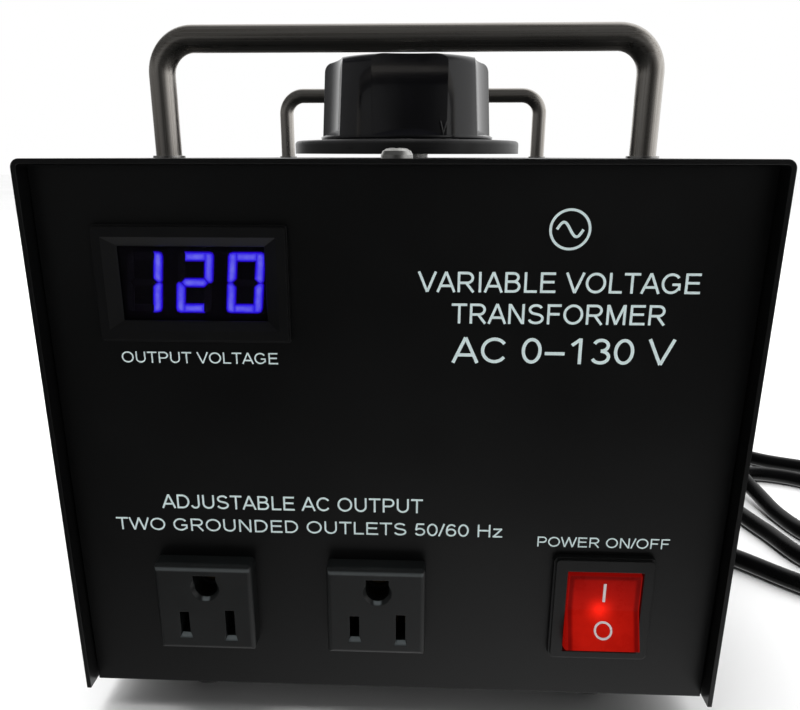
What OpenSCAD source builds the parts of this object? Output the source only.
// Bench variable transformer with output isolation: a folded steel case holding
// a toroidal variable transformer, an isolation transformer, a digital meter,
// two grounded outlets and a lighted power switch.
// +Z is up, the front panel faces -Y, and the origin is the centre of the
// footprint at the level of the feet.

/* [Case] */
// Outside width of the cover
case_w = 178; // [174:0.2:184]
// Height of the case without its feet
case_h = 148; // [146:1:156]
// Thickness of the sheet steel
sheet = 1.2; // [1:0.1:1.5]
// How far the cover stands past the front and rear panels
lip = 4.5; // [3:0.5:6]
// Height of the rubber feet
foot_h = 10.5; // [8:0.5:12]

/* [Handles] */
// Distance between the two legs of a handle
handle_span = 150; // [140:1:156]
// Diameter of the handle rod
handle_rod = 8; // [6:0.5:9]
// Height of the rod's centre above the cover
handle_rise = 35.1; // [32:0.1:45]

/* [Knob and dial] */
// Diameter of the knob at its foot
knob_d = 66.8; // [60:0.2:70]
// Height of the knob
knob_h = 28.1; // [24:0.1:32]
// Diameter of the dial plate
dial_d = 87; // [76:0.5:90]
// Radial clearance of the shaft in its bearings
shaft_gap = 0.05; // [0.02:0.01:0.1]

/* [Front panel] */
// Height of the outlets and the switch above the panel's bottom edge
row_z = 29.5; // [27:0.5:34]
// Height of the meter above the panel's bottom edge
meter_z = 118.35; // [110:0.05:122]

/* [Cord] */
// Diameter of the mains cord
cord_d = 7; // [6.4:0.1:7.2]

/* [Hidden] */
$fn = 64;

depth = 327.6;          // front face of the front panel to rear face of the rear panel
y_mid = 166;            // half way between the foremost and rearmost points
in_w = case_w - 2*sheet;
pan_w = in_w - 0.6;
top_z = case_h - sheet; // underside of the cover's top
knob_y = 118;
front_handle_y = 61.3;
rear_handle_y = 266.3;
foot_x = 59;
foot_y1 = 18;
foot_y2 = 309.6;
left_x = -51.85;
right_x = -4.6;
switch_x = 57;
meter_x = -49.9;
iso_y = 250;
bend_r = 10.5;          // centre-line bend of a handle
shaft_r = 4;
dial_z = case_h + 1.6;
dial_t = 4.6;
collar_h = 0.7;
knob_z = case_h + 6.6;
pointer_a = -66;        // direction of the knob's index mark, from +X
full_turn = 320;        // travel of the brush, 0 to 130 V
stop_a = pointer_a + 180 + full_turn*(120/130) + (360 - full_turn)/2 - 360; // the stop stands in the middle of the dead arc
pivot_y = 2;
pivot_z = row_z - 1.1;
rock_r = 12.2;
rock_a = 11;            // half of the rocker's throw
relief_x = 60;
relief_z = 19.5;

module case_frame() { translate([0, -y_mid, foot_h]) children(); }

// ---- shared shapes ----
module rrect(w, h, r) {
    union() {
        square([w, h - 2*r], center = true);
        square([w - 2*r, h], center = true);
        for (x = [-1, 1], y = [-1, 1]) translate([x*(w/2 - r), y*(h/2 - r)]) circle(r = r);
    }
}
// plate standing in the XZ plane, from y0 to y1
module face_plate(w, h, r, y0, y1) {
    translate([0, y1, 0]) rotate([90, 0, 0]) linear_extrude(y1 - y0) rrect(w, h, r);
}
module face_cyl(r, y0, y1) { translate([0, y1, 0]) rotate([90, 0, 0]) cylinder(r = r, h = y1 - y0); }
module side_cyl(r, x0, x1) { translate([x0, 0, 0]) rotate([0, 90, 0]) cylinder(r = r, h = x1 - x0); }
module ring(r1, r2, h) { difference() { cylinder(r = r1, h = h); translate([0, 0, -1]) cylinder(r = r2, h = h + 2); } }
module hex(af, h) { cylinder(d = af/cos(30), h = h, $fn = 6); }
module hex_nut(af, bore, h) { difference() { hex(af, h); translate([0, 0, -1]) cylinder(d = bore, h = h + 2); } }
// pan head on top of z = 0 with a cross recess, shank below it
module pan_screw(d, len) {
    hd = d*1.95; hh = d*0.62;
    difference() {
        union() {
            rotate_extrude() polygon([[0, 0], [hd/2, 0], [hd/2, hh*0.35], [hd*0.44, hh*0.72], [hd*0.33, hh*0.93], [hd*0.2, hh], [0, hh]]);
            translate([0, 0, -len]) cylinder(d = d, h = len);
        }
        for (a = [0, 90]) rotate(a) translate([-hd*0.27, -d*0.11, hh*0.35]) cube([hd*0.54, d*0.22, hh]);
    }
}

// a tube swept along points
function unit(v) = v/norm(v);
function heading(p, i) = i == 0 ? unit(p[1] - p[0]) : i == len(p) - 1 ? unit(p[i] - p[i-1])
    : unit(unit(p[i+1] - p[i]) + unit(p[i] - p[i-1]));
function carried(p, i, n) = i >= len(p) ? [] : let (t = heading(p, i), m = unit(n - (n*t)*t)) concat([m], carried(p, i+1, m));
module tube(p, r, k = 8) {
    t0 = heading(p, 0);
    ns = carried(p, 0, abs(t0[2]) < 0.8 ? [0, 0, 1] : [1, 0, 0]);
    pts = [for (i = [0:len(p)-1]) let (t = heading(p, i), n = ns[i], b = cross(t, n)) for (j = [0:k-1]) p[i] + r*(cos(360*j/k + 180/k)*n + sin(360*j/k + 180/k)*b)];
    m = len(p);
    polyhedron(pts, concat([[for (j = [0:k-1]) j]], [[for (j = [k-1:-1:0]) (m-1)*k + j]],
        [for (i = [0:m-2], j = [0:k-1]) [i*k + j, (i+1)*k + j, (i+1)*k + (j+1)%k, i*k + (j+1)%k]]));
}

// ---- case ----
// one sheet folded into front panel, floor and rear panel, with flanges for the cover
module chassis() color([0.10, 0.10, 0.11]) case_frame() {
    difference() {
        union() {
            translate([-pan_w/2, 0, 0]) cube([pan_w, sheet, top_z - 0.1]);
            translate([-pan_w/2, 0, 0]) cube([pan_w, depth, sheet]);
            translate([-pan_w/2, depth - sheet, 0]) cube([pan_w, sheet, top_z - 0.1]);
            translate([-pan_w/2 + 4, 0, top_z - 0.1 - sheet]) cube([pan_w - 8, 16, sheet]);
            translate([-pan_w/2 + 4, depth - 16, top_z - 0.1 - sheet]) cube([pan_w - 8, 16, sheet]);
            for (s = [-1, 1]) translate([s*(pan_w/2 - sheet/2) - sheet/2, 20, 0]) cube([sheet, depth - 40, 14]);
        }
        translate([meter_x, 0, meter_z]) cube([45.2, 8, 26.6], center = true);
        for (x = [left_x, right_x]) translate([x, 0, row_z]) cube([24, 8, 24], center = true);
        translate([switch_x, 0, pivot_z]) cube([24.4, 8, 28.4], center = true);
        translate([-62, depth - 5, 108]) face_cyl(5.1, 0, 10);
        translate([relief_x, depth - 5, relief_z]) face_cyl(6.1, 0, 10);
        for (i = [-3:3]) translate([i*9, depth, 62]) cube([3.2, 8, 34], center = true);
        for (i = [-3:3]) translate([i*9, depth, 104]) cube([3.2, 8, 30], center = true);
        for (x = [-foot_x, foot_x], y = [foot_y1, foot_y2]) translate([x, y, -1]) cylinder(r = 2.1, h = 4);
        for (y = [8, depth - 8]) translate([0, y, top_z - 4]) cylinder(r = 2.05, h = 6);
        for (a = [90, 210, 330]) translate([48*cos(a), knob_y + 48*sin(a), -1]) cylinder(r = 2.6, h = 4);
        for (x = [-56, 56], y = [iso_y - 40, iso_y + 40]) translate([x, y, -1]) cylinder(r = 2.1, h = 4);
        translate([-75, 196, -1]) cylinder(r = 2.1, h = 4);
        for (y = [60, 165, 270]) translate([-100, y, 8]) side_cyl(2.05, 0, 200);
    }
}

// inverted U over the chassis, with turned-over front and rear edges
module cover() color([0.11, 0.11, 0.12]) case_frame() {
    w = case_w; r = 2.2;
    difference() {
        translate([0, depth + lip, 0]) rotate([90, 0, 0]) linear_extrude(depth + 2*lip) difference() {
            union() {
                translate([-w/2, 0.5]) square([w, case_h - 0.5 - r]);
                translate([-w/2 + r, case_h - r - 1]) square([w - 2*r, r + 1]);
                for (s = [-1, 1]) translate([s*(w/2 - r), case_h - r]) circle(r = r);
            }
            translate([-w/2 + sheet, -1]) square([w - 2*sheet, case_h + 1 - r]);
            translate([-w/2 + r, case_h - r - 2]) square([w - 2*r, r + 2 - sheet]);
            for (s = [-1, 1]) translate([s*(w/2 - r), case_h - r]) circle(r = r - sheet);
        }
        translate([0, knob_y, top_z - 1]) cylinder(r = 5.1, h = 4);
        for (x = [-handle_span/2, handle_span/2], y = [front_handle_y, rear_handle_y]) translate([x, y, top_z - 1]) cylinder(r = 2.1, h = 4);
        for (y = [8, depth - 8]) translate([0, y, top_z - 1]) cylinder(r = 2.05, h = 4);
        for (y = [60, 165, 270]) translate([-100, y, 8]) side_cyl(2.1, 0, 200);
        for (i = [0:7], z = [50, 96]) translate([0, 116 + i*13, z]) cube([200, 3.4, 30], center = true);
    }
}
module cover_screws() color([0.72, 0.72, 0.72]) case_frame()
    for (y = [8, depth - 8]) translate([0, y, case_h]) { pan_screw(4, 7); translate([0, 0, -sheet*2 - 0.1 - 3.2]) hex_nut(7, 4.1, 3.1); }
module side_screws() color([0.12, 0.12, 0.12]) case_frame()
    for (y = [60, 165, 270], s = [-1, 1]) translate([s*case_w/2, y, 8]) rotate([0, s*90, 0]) pan_screw(4, 6);
module feet() color([0.05, 0.05, 0.05]) case_frame()
    for (x = [-foot_x, foot_x], y = [foot_y1, foot_y2]) translate([x, y, -foot_h]) difference() {
        rotate_extrude() union() {
            polygon([[0, 0], [6.6, 0], [8, 1.4], [10.5, foot_h - 1], [10.5, foot_h], [0, foot_h]]);
            translate([6.6, 1.4]) circle(r = 1.4);
        }
        translate([0, 0, -1]) cylinder(r = 4.6, h = 6.5);
        cylinder(r = 2.1, h = foot_h + 1);
    }
module foot_screws() color([0.62, 0.62, 0.62]) case_frame()
    for (x = [-foot_x, foot_x], y = [foot_y1, foot_y2]) {
        translate([x, y, 5.5 - foot_h]) rotate([180, 0, 0]) pan_screw(4, foot_h - 5.5 + 6);
        translate([x, y, sheet]) hex_nut(7, 4.1, 3.2);
    }

// ---- carrying handles ----
module handle() {
    z0 = case_h + collar_h; zt = case_h + handle_rise; s = handle_span/2; r = handle_rod/2;
    difference() {
        union() {
            for (k = [-1, 1]) {
                translate([k*s, 0, z0]) cylinder(r = r, h = zt - bend_r - z0);
                translate([k*(s - bend_r), 0, zt - bend_r]) rotate([90, 0, 0]) rotate([0, 0, k > 0 ? 0 : 90])
                    rotate_extrude(angle = 90) translate([bend_r, 0]) circle(r = r);
            }
            translate([0, 0, zt]) side_cyl(r, -s + bend_r, s - bend_r);
        }
        for (k = [-1, 1]) translate([k*s, 0, z0 - 1]) cylinder(r = 2.05, h = 13);
    }
}
module front_handle() color([0.55, 0.53, 0.50]) case_frame() translate([0, front_handle_y, 0]) handle();
module rear_handle() color([0.55, 0.53, 0.50]) case_frame() translate([0, rear_handle_y, 0]) handle();
module handle_collars() color([0.66, 0.65, 0.63]) case_frame()
    for (x = [-handle_span/2, handle_span/2], y = [front_handle_y, rear_handle_y]) translate([x, y, case_h]) ring(handle_rod/2 + 1, 2.1, collar_h);
module handle_screws() color([0.6, 0.6, 0.6]) case_frame()
    for (x = [-handle_span/2, handle_span/2], y = [front_handle_y, rear_handle_y]) translate([x, y, top_z]) rotate([180, 0, 0]) pan_screw(4, 13);

// ---- dial and knob ----
module dial_plate() color([0.10, 0.10, 0.11]) case_frame() translate([0, knob_y, dial_z]) difference() {
    rotate_extrude() union() {
        square([dial_d/2 - 1.4, dial_t]);
        square([dial_d/2, dial_t - 1.4]);
        translate([dial_d/2 - 1.4, dial_t - 1.4]) circle(r = 1.4);
    }
    translate([0, 0, -1]) cylinder(r = 5.05, h = 6);
}
module shaft_bushing() color([0.72, 0.62, 0.36]) case_frame() translate([0, knob_y, 0]) difference() {
    union() {
        translate([0, 0, 139]) cylinder(r = 5, h = case_h + 9.3 - 139);
        translate([0, 0, top_z - 2]) cylinder(r = 8, h = 2);
    }
    translate([0, 0, 130]) cylinder(r = shaft_r + shaft_gap, h = 40);
}
module bushing_nuts() color([0.70, 0.68, 0.62]) case_frame() translate([0, knob_y, 0]) {
    translate([0, 0, case_h]) ring(8.35, 5.05, dial_z - case_h);
    translate([0, 0, dial_z + dial_t]) hex_nut(14, 10.1, 2.6);
}
// five broad hollows lean inwards at the top and run out above a bevelled foot
module knob() color([0.03, 0.03, 0.03]) case_frame() translate([0, knob_y, knob_z]) difference() {
    union() {
        difference() {
            rotate_extrude() union() {
                polygon([[0, 0.6], [knob_d/2 - 0.15, 0.6], [knob_d/2 - 1.35, knob_h - 3], [knob_d/2 - 4.35, knob_h], [0, knob_h]]);
                translate([knob_d/2 - 4.35, knob_h - 3]) circle(r = 3);
            }
            for (i = [0:4]) rotate(-87 + 72*i) translate([77.4, 0, 2]) rotate([0, -3.5, 0]) translate([0, 0, -20]) cylinder(r = 48.6, h = 60, $fn = 128);
            translate([0, 0, knob_h - 0.8]) cylinder(r1 = 20, r2 = 21.2, h = 1.2);
        }
        rotate_extrude() polygon([[0, 0], [knob_d/2 - 0.4, 0], [knob_d/2, 0.5], [knob_d/2, 1.1], [28.4, 3.4], [0, 3.4]]);
        // raised index arrow
        rotate(pointer_a) translate([knob_d/2 - 1.1, 0, 0.9]) rotate([0, 90, 0]) linear_extrude(1) polygon([[0, 0], [-5, 1.5], [-5, 0.9], [-1.7, 0], [-5, -0.9], [-5, -1.5]]);
    }
    translate([0, 0, -1]) cylinder(r = 11, h = 5.4);
    translate([0, 0, -1]) cylinder(r = shaft_r, h = 22);
    rotate(pointer_a + 180 + 7) translate([0, 0, 10]) side_cyl(2.55, 0, 40);
}
module knob_screw() color([0.2, 0.2, 0.2]) case_frame() translate([0, knob_y, knob_z]) rotate(pointer_a + 187) translate([0, 0, 10]) difference() {
    side_cyl(2.5, shaft_r, shaft_r + 8);
    side_cyl(1.25, shaft_r + 5, shaft_r + 9, $fn = 6);
}
module shaft() color([0.70, 0.70, 0.68]) case_frame() translate([0, knob_y, 4]) {
    difference() {
        cylinder(r = shaft_r, h = knob_z + 20.5 - 4);
        translate([0, 0, -1]) cylinder(r = 1, h = 4);
    }
}

// ---- toroidal variable transformer ----
module variac_base() color([0.62, 0.63, 0.64]) case_frame() translate([0, knob_y, 0]) difference() {
    union() {
        translate([0, 0, 6]) cylinder(r = 56, h = 4.8);
        for (a = [90, 210, 330]) rotate(a) translate([48, 0, sheet]) cylinder(r = 7, h = 5);
        translate([0, 0, 10]) cylinder(r = 11, h = 14);
        for (a = [30, 150, 270]) rotate(a) translate([10, -1.5, 10]) cube([8, 3, 10]);
    }
    translate([0, 0, 2]) cylinder(r = shaft_r + shaft_gap, h = 30);
    for (a = [90, 210, 330]) rotate(a) translate([48, 0, 0]) cylinder(r = 2.6, h = 20);
    for (a = [0, 120, 240]) rotate(a) translate([19.5, 0, 4]) cylinder(r = 2.1, h = 20);
}
module variac_bolts() color([0.6, 0.6, 0.58]) case_frame() translate([0, knob_y, 0]) for (a = [90, 210, 330]) rotate(a) translate([48, 0, 0]) {
    difference() {
        union() { translate([0, 0, -3]) hex(8, 3); cylinder(r = 2.5, h = 10.7); }
        translate([0, 0, -4]) cylinder(r = 1.6, h = 2.2);
    }
}
module variac_core() color([0.35, 0.35, 0.37]) case_frame() translate([0, knob_y, 17]) ring(59, 31, 50);
module variac_winding() color([0.62, 0.30, 0.12]) case_frame() translate([0, knob_y, 0]) rotate_extrude($fn = 96) difference() {
    translate([44.5, 42]) rrect(40, 58, 5);
    translate([45, 42]) square([28, 50], center = true);
}
module variac_washers() color([0.75, 0.68, 0.50]) case_frame() translate([0, knob_y, 0]) {
    translate([0, 0, 10.8]) difference() { cylinder(r = 52, h = 2.2); translate([0, 0, -1]) cylinder(r = 24, h = 5); for (a = [90, 210, 330]) rotate(a) translate([48, 0, -1]) cylinder(r = 5.5, h = 5); }
    translate([0, 0, 71]) ring(34, 22, 2);
}
module top_clamp() color([0.16, 0.14, 0.12]) case_frame() translate([0, knob_y, 0]) difference() {
    union() { translate([0, 0, 73]) cylinder(r = 32, h = 4); translate([0, 0, 77]) cylinder(r = 9, h = 3); }
    translate([0, 0, 60]) cylinder(r = shaft_r + shaft_gap, h = 30);
    for (a = [0, 120, 240]) rotate(a) translate([19.5, 0, 60]) cylinder(r = 2.1, h = 30);
    rotate(stop_a) translate([26.5, 0, 60]) cylinder(r = 1.55, h = 30);
}
module clamp_bolts() color([0.6, 0.6, 0.58]) case_frame() translate([0, knob_y, 0]) for (a = [0, 120, 240]) rotate(a) translate([19.5, 0, 0]) {
    translate([0, 0, 2.8]) hex(7, 3.2);
    translate([0, 0, 2.8]) cylinder(r = 2, h = 78);
    translate([0, 0, 77]) hex_nut(7, 4.1, 3);
}
// pin that the arm's finger meets at either end of its travel
module stop_post() color([0.65, 0.64, 0.60]) case_frame() translate([0, knob_y, 0]) rotate(stop_a) translate([26.5, 0, 73]) {
    cylinder(r = 1.5, h = 15);
    translate([0, 0, 4]) cylinder(r = 3, h = 10.5);
}
module brush_arm() color([0.75, 0.76, 0.77]) case_frame() translate([0, knob_y, 0]) rotate(pointer_a) difference() {
    union() {
        translate([0, 0, 81]) cylinder(r = 12, h = 16);
        translate([0, -9, 88]) cube([44, 18, 3]);
        for (y = [-9, -4.5, 3, 7.5]) translate([11, y, 90]) cube([29, 1.5, 7]);
        rotate(180) translate([0, -5.6, 81]) cube([29.5, 11.2, 5]);
    }
    translate([0, 0, 70]) cylinder(r = shaft_r, h = 40);
    translate([41, 0, 80]) cylinder(r = 1.6, h = 20);
}
module brush_holder() color([0.72, 0.58, 0.30]) case_frame() translate([0, knob_y, 0]) rotate(pointer_a) difference() {
    union() {
        translate([44, -7.5, 75]) cube([13, 15, 15]);
        translate([35, -2.9, 91]) cube([22, 5.8, 1]);
        translate([54.6, -3.5, 89]) cube([2.4, 7, 3]);
    }
    translate([46, -5.05, 70]) cube([9.1, 10.1, 18.5]);
    translate([41, 0, 80]) cylinder(r = 1.6, h = 20);
}
module carbon_brush() color([0.12, 0.12, 0.12]) case_frame() translate([0, knob_y, 0]) rotate(pointer_a) translate([46.05, -5, 71.3]) cube([9, 10, 9.2]);
module brush_spring() color([0.75, 0.75, 0.72]) case_frame() translate([0, knob_y, 0]) rotate(pointer_a) translate([50.5, 0, 80.5]) ring(3.2, 2.2, 7.6);
module tap_board() color([0.42, 0.26, 0.12]) case_frame() translate([0, knob_y, 0]) rotate(200) {
    translate([66, -14, 10.8]) cube([2, 28, 47.2]);
    translate([53, -14, 10.8]) cube([15, 28, 2]);
    for (i = [-1, 0, 1]) translate([68, i*8 - 2, 46]) cube([3, 4, 6]);
}

// ---- isolation transformer ----
module iso_core() color([0.30, 0.30, 0.32]) case_frame() translate([0, iso_y, 5]) difference() {
    translate([-66.6, -30, 0]) cube([133.2, 60, 111]);
    for (s = [-1, 1]) translate([s*33.3 - 11.1, -31, 22.2]) cube([22.2, 62, 66.6]);
    for (x = [-61, 61], z = [6, 105]) translate([x, -31, z]) face_cyl(2.1, 0, 62);
}
module iso_bobbin() color([0.86, 0.82, 0.70]) case_frame() translate([0, iso_y, 5]) difference() {
    union() {
        translate([0, 0, 22.3]) linear_extrude(1.8) square([87.6, 104], center = true);
        translate([0, 0, 86.9]) linear_extrude(1.8) square([87.6, 104], center = true);
        translate([-23.8, -31.8, 22.3]) cube([47.6, 63.6, 66.4]);
    }
    translate([-22.3, -30.1, 20]) cube([44.6, 60.2, 80]);
}
module iso_winding() color([0.78, 0.64, 0.20]) case_frame() translate([0, iso_y, 5]) translate([0, 0, 24.1]) linear_extrude(62.8) difference() {
    rrect(86.4, 101, 9);
    square([47.6, 63.6], center = true);
}
module iso_brackets() color([0.55, 0.55, 0.52]) case_frame() translate([0, iso_y, 0]) for (s = [-1, 1]) difference() {
    union() {
        translate([-66, s > 0 ? 30 : -32, sheet]) cube([132, 2, 24]);
        translate([-66, s > 0 ? 30 : -48, sheet]) cube([132, 18, 2]);
    }
    for (x = [-61, 61]) translate([x, -60, 11]) face_cyl(2.1, 0, 120);
    for (x = [-56, 56]) translate([x, s*40, 0]) cylinder(r = 2.1, h = 6);
}
module iso_bolts() color([0.62, 0.62, 0.60]) case_frame() translate([0, iso_y, 0]) {
    for (x = [-61, 61]) translate([x, 0, 11]) { face_cyl(2, -32, 36.4); translate([0, -32, 0]) rotate([90, 0, 0]) hex(7, 3); translate([0, 35.2, 0]) rotate([90, 0, 0]) hex_nut(7, 4.1, 3.1); }
    for (x = [-61, 61]) translate([x, 0, 110]) { face_cyl(2, -30, 34.4); translate([0, -30, 0]) rotate([90, 0, 0]) hex(7, 3); translate([0, 33.2, 0]) rotate([90, 0, 0]) hex_nut(7, 4.1, 3.1); }
    for (x = [-56, 56], y = [-40, 40]) translate([x, y, 0]) { translate([0, 0, 0]) rotate([180, 0, 0]) pan_screw(4, 7.5); translate([0, 0, 3.3]) hex_nut(7, 4.1, 3.1); }
}

// ---- meter ----
module meter_bezel() color([0.09, 0.09, 0.10]) case_frame() translate([meter_x, 0, meter_z]) difference() {
    union() {
        face_plate(48, 29, 0.8, -1.3, 0);
        face_plate(47, 28, 0.6, -1.85, -1);
        translate([-22.4, 0, -13.1]) cube([44.8, 6, 26.2]);
    }
    // sloping reveal around the window
    polyhedron([[-21.6, -2, -11.8], [21.6, -2, -11.8], [21.6, -2, 11.7], [-21.6, -2, 11.7],
                [-17.9, 0.1, -9.2], [17.9, 0.1, -9.2], [17.9, 0.1, 9.0], [-17.9, 0.1, 9.0]],
        [[3, 2, 1, 0], [4, 5, 6, 7], [1, 5, 4, 0], [2, 6, 5, 1], [3, 7, 6, 2], [0, 4, 7, 3]]);
    translate([-20.5, 0, -11]) cube([41, 8, 22]);
}
module meter_window() color([0.06, 0.05, 0.08, 0.4]) case_frame() translate([meter_x, 0, meter_z]) translate([-20.3, 0.1, -10.8]) cube([40.6, 0.7, 21.6]);
module meter_body() color([0.07, 0.07, 0.08]) case_frame() translate([meter_x, 0, meter_z]) {
    translate([-20.3, 1.6, -10.8]) cube([40.6, 4.4, 21.6]);
    translate([-22.4, 6, -13.1]) cube([44.8, 15, 26.2]);
    for (s = [-1, 1]) translate([s*23.4 - 1, 3, -4]) cube([2, 14, 8]);
    translate([-12, 21, -3]) cube([24, 5, 6]);
}
// seven-segment figures, leaning a little to the right; bars: top, upper left,
// upper right, middle, lower left, lower right, bottom
lit = [[2, 5], [0, 2, 3, 4, 6], [0, 1, 2, 4, 5, 6]];
fig_w = 4.3; fig_h = 7.35; bar = 1.75;
side_bar = [[fig_w - bar, 1.1], [fig_w - 0.75, 0.12], [fig_w - 0.35, 0.12], [fig_w, 0.55], [fig_w, fig_h - 0.9], [fig_w - 0.25, fig_h - 0.25], [fig_w - 0.9, fig_h], [fig_w - bar, fig_h]];
module figure_bar(s) {
    if (s == 0) translate([bar + 0.15 - fig_w, fig_h - bar]) square([2*(fig_w - bar - 0.15), bar]);
    if (s == 1) polygon([for (i = [7:-1:0]) [-side_bar[i][0], side_bar[i][1]]]);
    if (s == 2) polygon(side_bar);
    if (s == 3) polygon([[-3.05, 0], [-2.35, -0.85], [2.35, -0.85], [3.05, 0], [2.35, 0.85], [-2.35, 0.85]]);
    if (s == 4) rotate(180) polygon(side_bar);
    if (s == 5) rotate(180) polygon([for (i = [7:-1:0]) [-side_bar[i][0], side_bar[i][1]]]);
    if (s == 6) translate([bar + 0.15 - fig_w, -fig_h]) square([2*(fig_w - bar - 0.15), bar]);
}
module meter_digits() color([0.25, 0.2, 1]) case_frame() translate([meter_x, 0, meter_z])
    for (d = [0:2], s = lit[d]) multmatrix([[1, 0, 0.1, (d - 1)*12.7], [0, 1, 0, 1.6], [0, 0, 1, 0], [0, 0, 0, 1]])
        rotate([90, 0, 0]) linear_extrude(0.3) figure_bar(s);

// ---- outlets ----
module outlet() {
    difference() {
        union() {
            translate([-0.4, 0, -0.9]) intersection() {
                face_plate(27, 27, 1.2, -4.8, 0);
                translate([0, 0, -20]) linear_extrude(40) union() { translate([-13.5, -3.4]) square([27, 3.4]); translate([-12.1, -4.8]) square([24.2, 4]); for (s = [-1, 1]) translate([s*12.1, -3.4]) circle(r = 1.4); }
                translate([-20, 0, 0]) rotate([90, 0, 90]) linear_extrude(40) union() { translate([-3.4, -13.5]) square([3.4, 27]); translate([-4.8, -12.1]) square([4, 24.2]); for (s = [-1, 1]) translate([-3.4, s*12.1]) circle(r = 1.4); }
            }
            translate([-11.8, -0.2, -11.8]) cube([23.6, 24, 23.6]);
            for (s = [-1, 1]) translate([s*12.1 - 0.6, 3, -3]) cube([1.2, 12, 6]);
        }
        for (s = [-1, 1]) {
            h = s < 0 ? 7.3 : 8.7;
            translate([s*6.35 - 1.3, -6, -5.8 - h/2]) cube([2.6, 8, h]);
            // lead-in at the slot's lower end
            translate([s*6.35, 0, -5.8 - h/2]) polyhedron([[-1.95, -5, -1.4], [1.95, -5, -1.4], [1.4, -5, 1], [-1.4, -5, 1], [-1.28, -3.8, 0], [1.28, -3.8, 0], [1.28, -3.8, 1], [-1.28, -3.8, 1]],
                [[0, 3, 2, 1], [0, 1, 5, 4], [4, 5, 6, 7], [2, 3, 7, 6], [0, 4, 7], [0, 7, 3], [1, 6, 5], [1, 2, 6]]);
            translate([s*6.35 - 1.8, 1.5, -5.8 - 4.6]) cube([3.6, 24, 9.2]);
        }
        translate([0, 0, 5.3]) { face_cyl(3.1, -6, 2); translate([-3.1, -6, 0]) cube([6.2, 8, 4]); translate([0, -5, 0]) rotate([-90, 0, 0]) cylinder(r1 = 4.1, r2 = 3.1, h = 1.2); }
        translate([0, 1.5, 6.6]) face_cyl(3.6, 0, 24);
    }
}
module outlet_left() color([0.05, 0.05, 0.05]) case_frame() translate([left_x, 0, row_z]) outlet();
module outlet_right() color([0.05, 0.05, 0.05]) case_frame() translate([right_x, 0, row_z]) outlet();
module outlet_contacts() color([0.80, 0.62, 0.28]) case_frame() for (x = [left_x, right_x]) translate([x, 0, row_z]) {
    for (s = [-1, 1]) {
        for (k = [-1, 1]) translate([s*6.35 + k*1.25 - 0.35, 2.6, -9.4]) cube([0.7, 18, 7.2]);
        translate([s*6.35 - 1.6, 20.6, -9.4]) cube([3.2, 0.8, 7.2]);
        translate([s*6.35 - 0.4, 21.4, -9]) cube([0.8, 8, 6.3]);
    }
    translate([0, 3, 6.6]) rotate([-90, 0, 0]) { ring(3.4, 2.5, 17); translate([0, 0, 17]) cylinder(r = 3.4, h = 1); translate([-3.1, -0.4, 18]) cube([6.2, 0.8, 8]); }
}

// ---- power switch ----
module switch_housing() color([0.06, 0.06, 0.06]) case_frame() translate([switch_x, 0, 0]) difference() {
    union() {
        translate([0, 0, row_z - 0.4]) {
            translate([-0.3, 0, 0]) face_plate(27.4, 32, 1.6, -1.4, 0);
            translate([-0.3, 0, 0]) face_plate(26.2, 30.8, 1.2, -2, -1);
        }
        translate([-12, 0, pivot_z - 13.9]) cube([24, 24, 27.8]);
        for (s = [-1, 1]) translate([-5, 3, pivot_z + s*14.1 - 0.5]) cube([10, 10, 1]);
    }
    translate([-10.2, -3, pivot_z - 12.7]) cube([20.4, 19, 25.4]);
    translate([0, pivot_y, pivot_z]) side_cyl(1.56, -11.6, 11.6);
    for (x = [-7, 7], z = [-8, 8]) translate([x - 0.5, 10, pivot_z + z - 3.2]) cube([1, 20, 6.4]);
}
// in its own frame: the pivot is the origin and the rocker stands half way
module rocker_blank() {
    t = tan(rock_a); k = 3.9/cos(rock_a);
    rotate([90, 0, 90]) translate([0, 0, -9.8]) linear_extrude(19.6) intersection() {
        circle(r = rock_r, $fn = 96);
        polygon([[-k, 0], [-k - 20*t, 20], [8, 20], [8, -20], [-k - 20*t, -20]]);
    }
}
module rocker_frame() { case_frame() translate([switch_x, pivot_y, pivot_z]) rotate([-rock_a, 0, 0]) children(); }
module rocker() color([0.85, 0.05, 0.04]) rocker_frame() {
    rocker_blank();
    side_cyl(1.5, -11.4, 11.4);
}
module rocker_marks() color([0.95, 0.95, 0.95]) rocker_frame() {
    rotate([rock_a, 0, 0]) translate([-0.36, -4.05, 3.5]) cube([0.72, 0.15, 5.6]);
    rotate([-rock_a, 0, 0]) translate([0, -4.05, -6.1]) rotate([-90, 0, 0]) ring(2.5, 1.92, 0.15);
}
module switch_tabs() color([0.80, 0.62, 0.28]) case_frame() translate([switch_x, 0, pivot_z])
    for (x = [-7, 7], z = [-8, 8]) difference() {
        translate([x - 0.4, 17, z - 3.15]) cube([0.8, 16, 6.3]);
        translate([x, 29.5, z]) side_cyl(0.9, -2, 2);
    }

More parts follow.
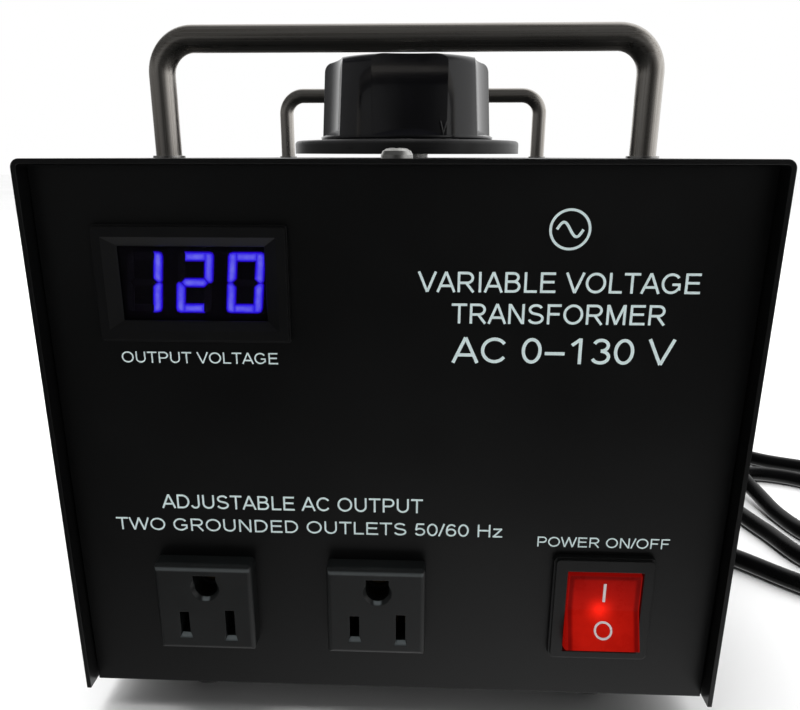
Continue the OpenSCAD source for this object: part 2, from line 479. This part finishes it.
// ---- rear panel ----
module breaker_body() color([0.08, 0.08, 0.08]) case_frame() translate([-62, 0, 108]) difference() {
    union() {
        translate([-7, depth - sheet - 28, -13]) cube([14, 28, 26]);
        face_cyl(5, depth - sheet - 1, depth + 6.4);
    }
    face_cyl(3.05, depth - 6, depth + 10);
    for (z = [-7, 7]) translate([-0.5, depth - 40, z - 3.2]) cube([1, 18, 6.4]);
}
module breaker_nut() color([0.7, 0.7, 0.68]) case_frame() translate([-62, depth + 3, 108]) rotate([90, 0, 0]) hex_nut(14, 10.1, 3);
module breaker_button() color([0.85, 0.84, 0.80]) case_frame() translate([-62, 0, 108]) union() {
    face_cyl(3, depth - 2, depth + 9.6);
    face_cyl(2.4, depth + 9.2, depth + 10.4);
}
module ground_stud() color([0.78, 0.66, 0.34]) case_frame() translate([-75, 196, 0]) {
    difference() { union() { translate([0, 0, -2.6]) hex(7, 2.6); cylinder(r = 2, h = 15); } translate([0, 0, -3]) cylinder(r = 1.2, h = 1.4); }
    translate([0, 0, sheet]) hex_nut(7, 4.1, 3);
    translate([0, 0, 6.2]) hex_nut(7, 4.1, 3);
    translate([0, 0, 4.3]) ring(4.5, 2.05, 0.8);
}

// ---- wiring, and the cord with its plug ----
function in_case(p) = [for (q = p) [q[0], q[1] - y_mid, q[2] + foot_h]];
module wires_live() color([0.06, 0.06, 0.06]) {
    tube(in_case([[62, 317, 21], [70, 308, 30], [74, 300, 60], [74, 296, 100], [70, 298, 126], [40, 306, 134], [0, 308, 134], [-40, 308, 132], [-58, 306, 128], [-62, 304, 122.2]]), 1.3, 8);
    tube(in_case([[64, 33.3, 36.4], [69, 42, 37], [76, 60, 38], [78, 120, 36], [78, 180, 34], [76, 204, 36], [74, 212, 60], [60, 212, 104], [47, 205, 100]]), 1.3, 8);
}
module wires_neutral() color([0.9, 0.9, 0.88]) {
    tube(in_case([[58, 317, 17], [66, 312, 9], [76, 300, 6], [80, 280, 6], [80, 240, 6], [80, 180, 6], [80, 100, 6], [76, 62, 8], [68, 46, 14], [64.4, 38, 20], [64, 33.3, 20.4]]), 1.3, 8);
    tube(in_case([[-10.95, 29.6, 23.6], [-10.95, 32.4, 23.6], [-20, 41, 24], [-60, 50, 26], [-78, 64, 28], [-79.5, 80, 32], [-79, 88, 42], [-74, 91, 49], [-67.4, 93.4, 49]]), 1.3, 8);
}
module wires_ground() color([0.1, 0.5, 0.15]) {
    tube(in_case([[56, 317, 22], [44, 311, 16], [20, 306, 10], [-20, 306, 10], [-60, 306, 8], [-76, 296, 6], [-80, 270, 5], [-80, 230, 5], [-77, 206, 5], [-75.5, 201.2, 4.7]]), 1.3, 8);
    tube(in_case([[-4.6, 29.2, 36.1], [-4.6, 32, 36.1], [-12, 36.5, 38.6], [-28, 40, 41], [-44, 36.5, 38.6], [-51.85, 32, 36.1], [-51.85, 29.2, 36.1]]), 1.3, 8);
}
// tapered boot on the cord, locked in the rear panel
module strain_relief() color([0.05, 0.05, 0.05]) case_frame() translate([relief_x, 0, relief_z]) difference() {
    union() {
        face_cyl(6, depth - sheet - 1, depth + 1);
        face_cyl(8.6, depth - sheet - 4, depth - sheet);
        face_cyl(8.6, depth, depth + 2.6);
        translate([0, depth + 2.6, 0]) rotate([-90, 0, 0]) cylinder(r1 = 6.8, r2 = 4.8, h = 31.8);
        for (i = [0:5]) translate([0, depth + 5 + i*4.9, 0]) rotate([-90, 0, 0]) cylinder(r1 = 7 - i*0.3, r2 = 6.7 - i*0.3, h = 2.3);
    }
    face_cyl(cord_d/2 + 0.1, depth - 10, depth + 50);
}
lead_pts = [[60, 153, 30], [60, 178, 30], [60, 196, 30], [60, 210, 28.5], [60, 223, 23], [61, 235, 14.5], [64, 246, 7], [72, 255, 3.8], [85, 259, 3.6],
    [98, 255, 3.6], [107, 245, 3.6], [111, 230, 3.6], [108, 212, 3.6], [102, 193, 3.6], [99, 176, 4.2], [98.8, 158, 4.6]];
tail_pts = [[134, 49.5, 11.2], [150, 46, 9], [165, 36, 5], [177, 23, 3.6], [190, 12, 3.6], [208, 4, 3.6], [226, -8, 3.6], [240, -26, 3.6], [245, -48, 3.6], [241, -70, 3.6],
    [229, -89, 3.6], [211, -101, 3.6], [191, -104, 3.6], [173, -96, 3.6], [162, -81, 3.6], [157, -63, 3.6], [152, -45, 3.6], [150, -28, 3.6],
    [157, -12, 3.6], [173, -4, 3.6], [191, -7, 3.6], [207, -18, 3.6], [219, -34, 3.6], [222, -52, 3.6], [215, -68, 3.6], [201, -78, 3.6], [185, -76, 3.6],
    [174, -64, 3.6], [169, -46, 3.6], [166, -28, 6.5], [160, -10, 11.4], [148, 4, 6.5], [132, 11, 3.6], [115, 7, 3.6], [103, -5, 3.6], [98, -22, 3.6], [99, -41, 3.6],
    [107, -58, 3.6], [120, -71, 3.6], [135, -83, 3.6], [149, -97, 3.6], [162, -108, 4], [175, -114, 6.6], [189, -117, 10.2], [203, -118, 11.6]];
module mains_cord_lead() color([0.04, 0.04, 0.04]) tube(lead_pts, cord_d/2, 10);
module mains_cord_tail() color([0.04, 0.04, 0.04]) tube(tail_pts, cord_d/2, 10);
hank_x = 128; hank_y1 = 75; hank_y2 = 150; hank_r = 32.8; hank_h = 13.8; hank_z = 1;
module cord_hank() color([0.04, 0.04, 0.04]) translate([hank_x, 0, 0]) union() {
    translate([-hank_r, hank_y1, hank_z]) cube([2*hank_r, hank_y2 - hank_y1, hank_h]);
    for (y = [hank_y1, hank_y2]) translate([0, y, hank_z]) cylinder(r = hank_r, h = hank_h);
}
module cord_tie() color([0.08, 0.08, 0.09]) translate([hank_x, 112, 0]) {
    difference() { translate([-hank_r - 1.2, -7, 0]) cube([2*hank_r + 2.4, 14, hank_h + 2]); translate([-hank_r, -8, hank_z]) cube([2*hank_r, 16, hank_h]); }
}
// three-blade plug lying on its side
module plug_body() color([0.04, 0.04, 0.04]) translate([203, -118, 11.6]) rotate([0, 0, -1]) union() {
    rotate([0, 90, 0]) cylinder(r1 = 4.6, r2 = 6.6, h = 15);
    translate([12, 0, 0]) rotate([0, 90, 0]) linear_extrude(26) rrect(22.8, 25.6, 6);
    translate([36, 0, 0]) rotate([0, 90, 0]) linear_extrude(4) rrect(19.6, 22.4, 5);
}
module plug_blades() color([0.83, 0.72, 0.42]) translate([203, -118, 11.6]) rotate([0, 0, -1]) translate([40, 0, 0]) {
    for (s = [-1, 1]) translate([0, s*6.35 - 0.75, -4.6 - 3.15]) cube([16.5, 1.5, 6.3]);
    translate([0, 0, 7.3]) rotate([0, 90, 0]) cylinder(r = 2.37, h = 18);
    translate([18, 0, 7.3]) rotate([0, 90, 0]) cylinder(r1 = 2.37, r2 = 1.2, h = 2);
}

chassis();
cover();
cover_screws();
side_screws();
feet();
foot_screws();
front_handle();
rear_handle();
handle_collars();
handle_screws();
dial_plate();
shaft_bushing();
bushing_nuts();
knob();
knob_screw();
shaft();
variac_base();
variac_bolts();
variac_core();
variac_winding();
variac_washers();
top_clamp();
clamp_bolts();
stop_post();
brush_arm();
brush_holder();
carbon_brush();
brush_spring();
tap_board();
iso_core();
iso_bobbin();
iso_winding();
iso_brackets();
iso_bolts();
meter_bezel();
meter_body();
meter_window();
meter_digits();
outlet_left();
outlet_right();
outlet_contacts();
switch_housing();
rocker();
rocker_marks();
switch_tabs();
breaker_body();
breaker_nut();
breaker_button();
ground_stud();
wires_live();
wires_neutral();
wires_ground();
strain_relief();
mains_cord_lead();
cord_hank();
cord_tie();
mains_cord_tail();
plug_body();
plug_blades();
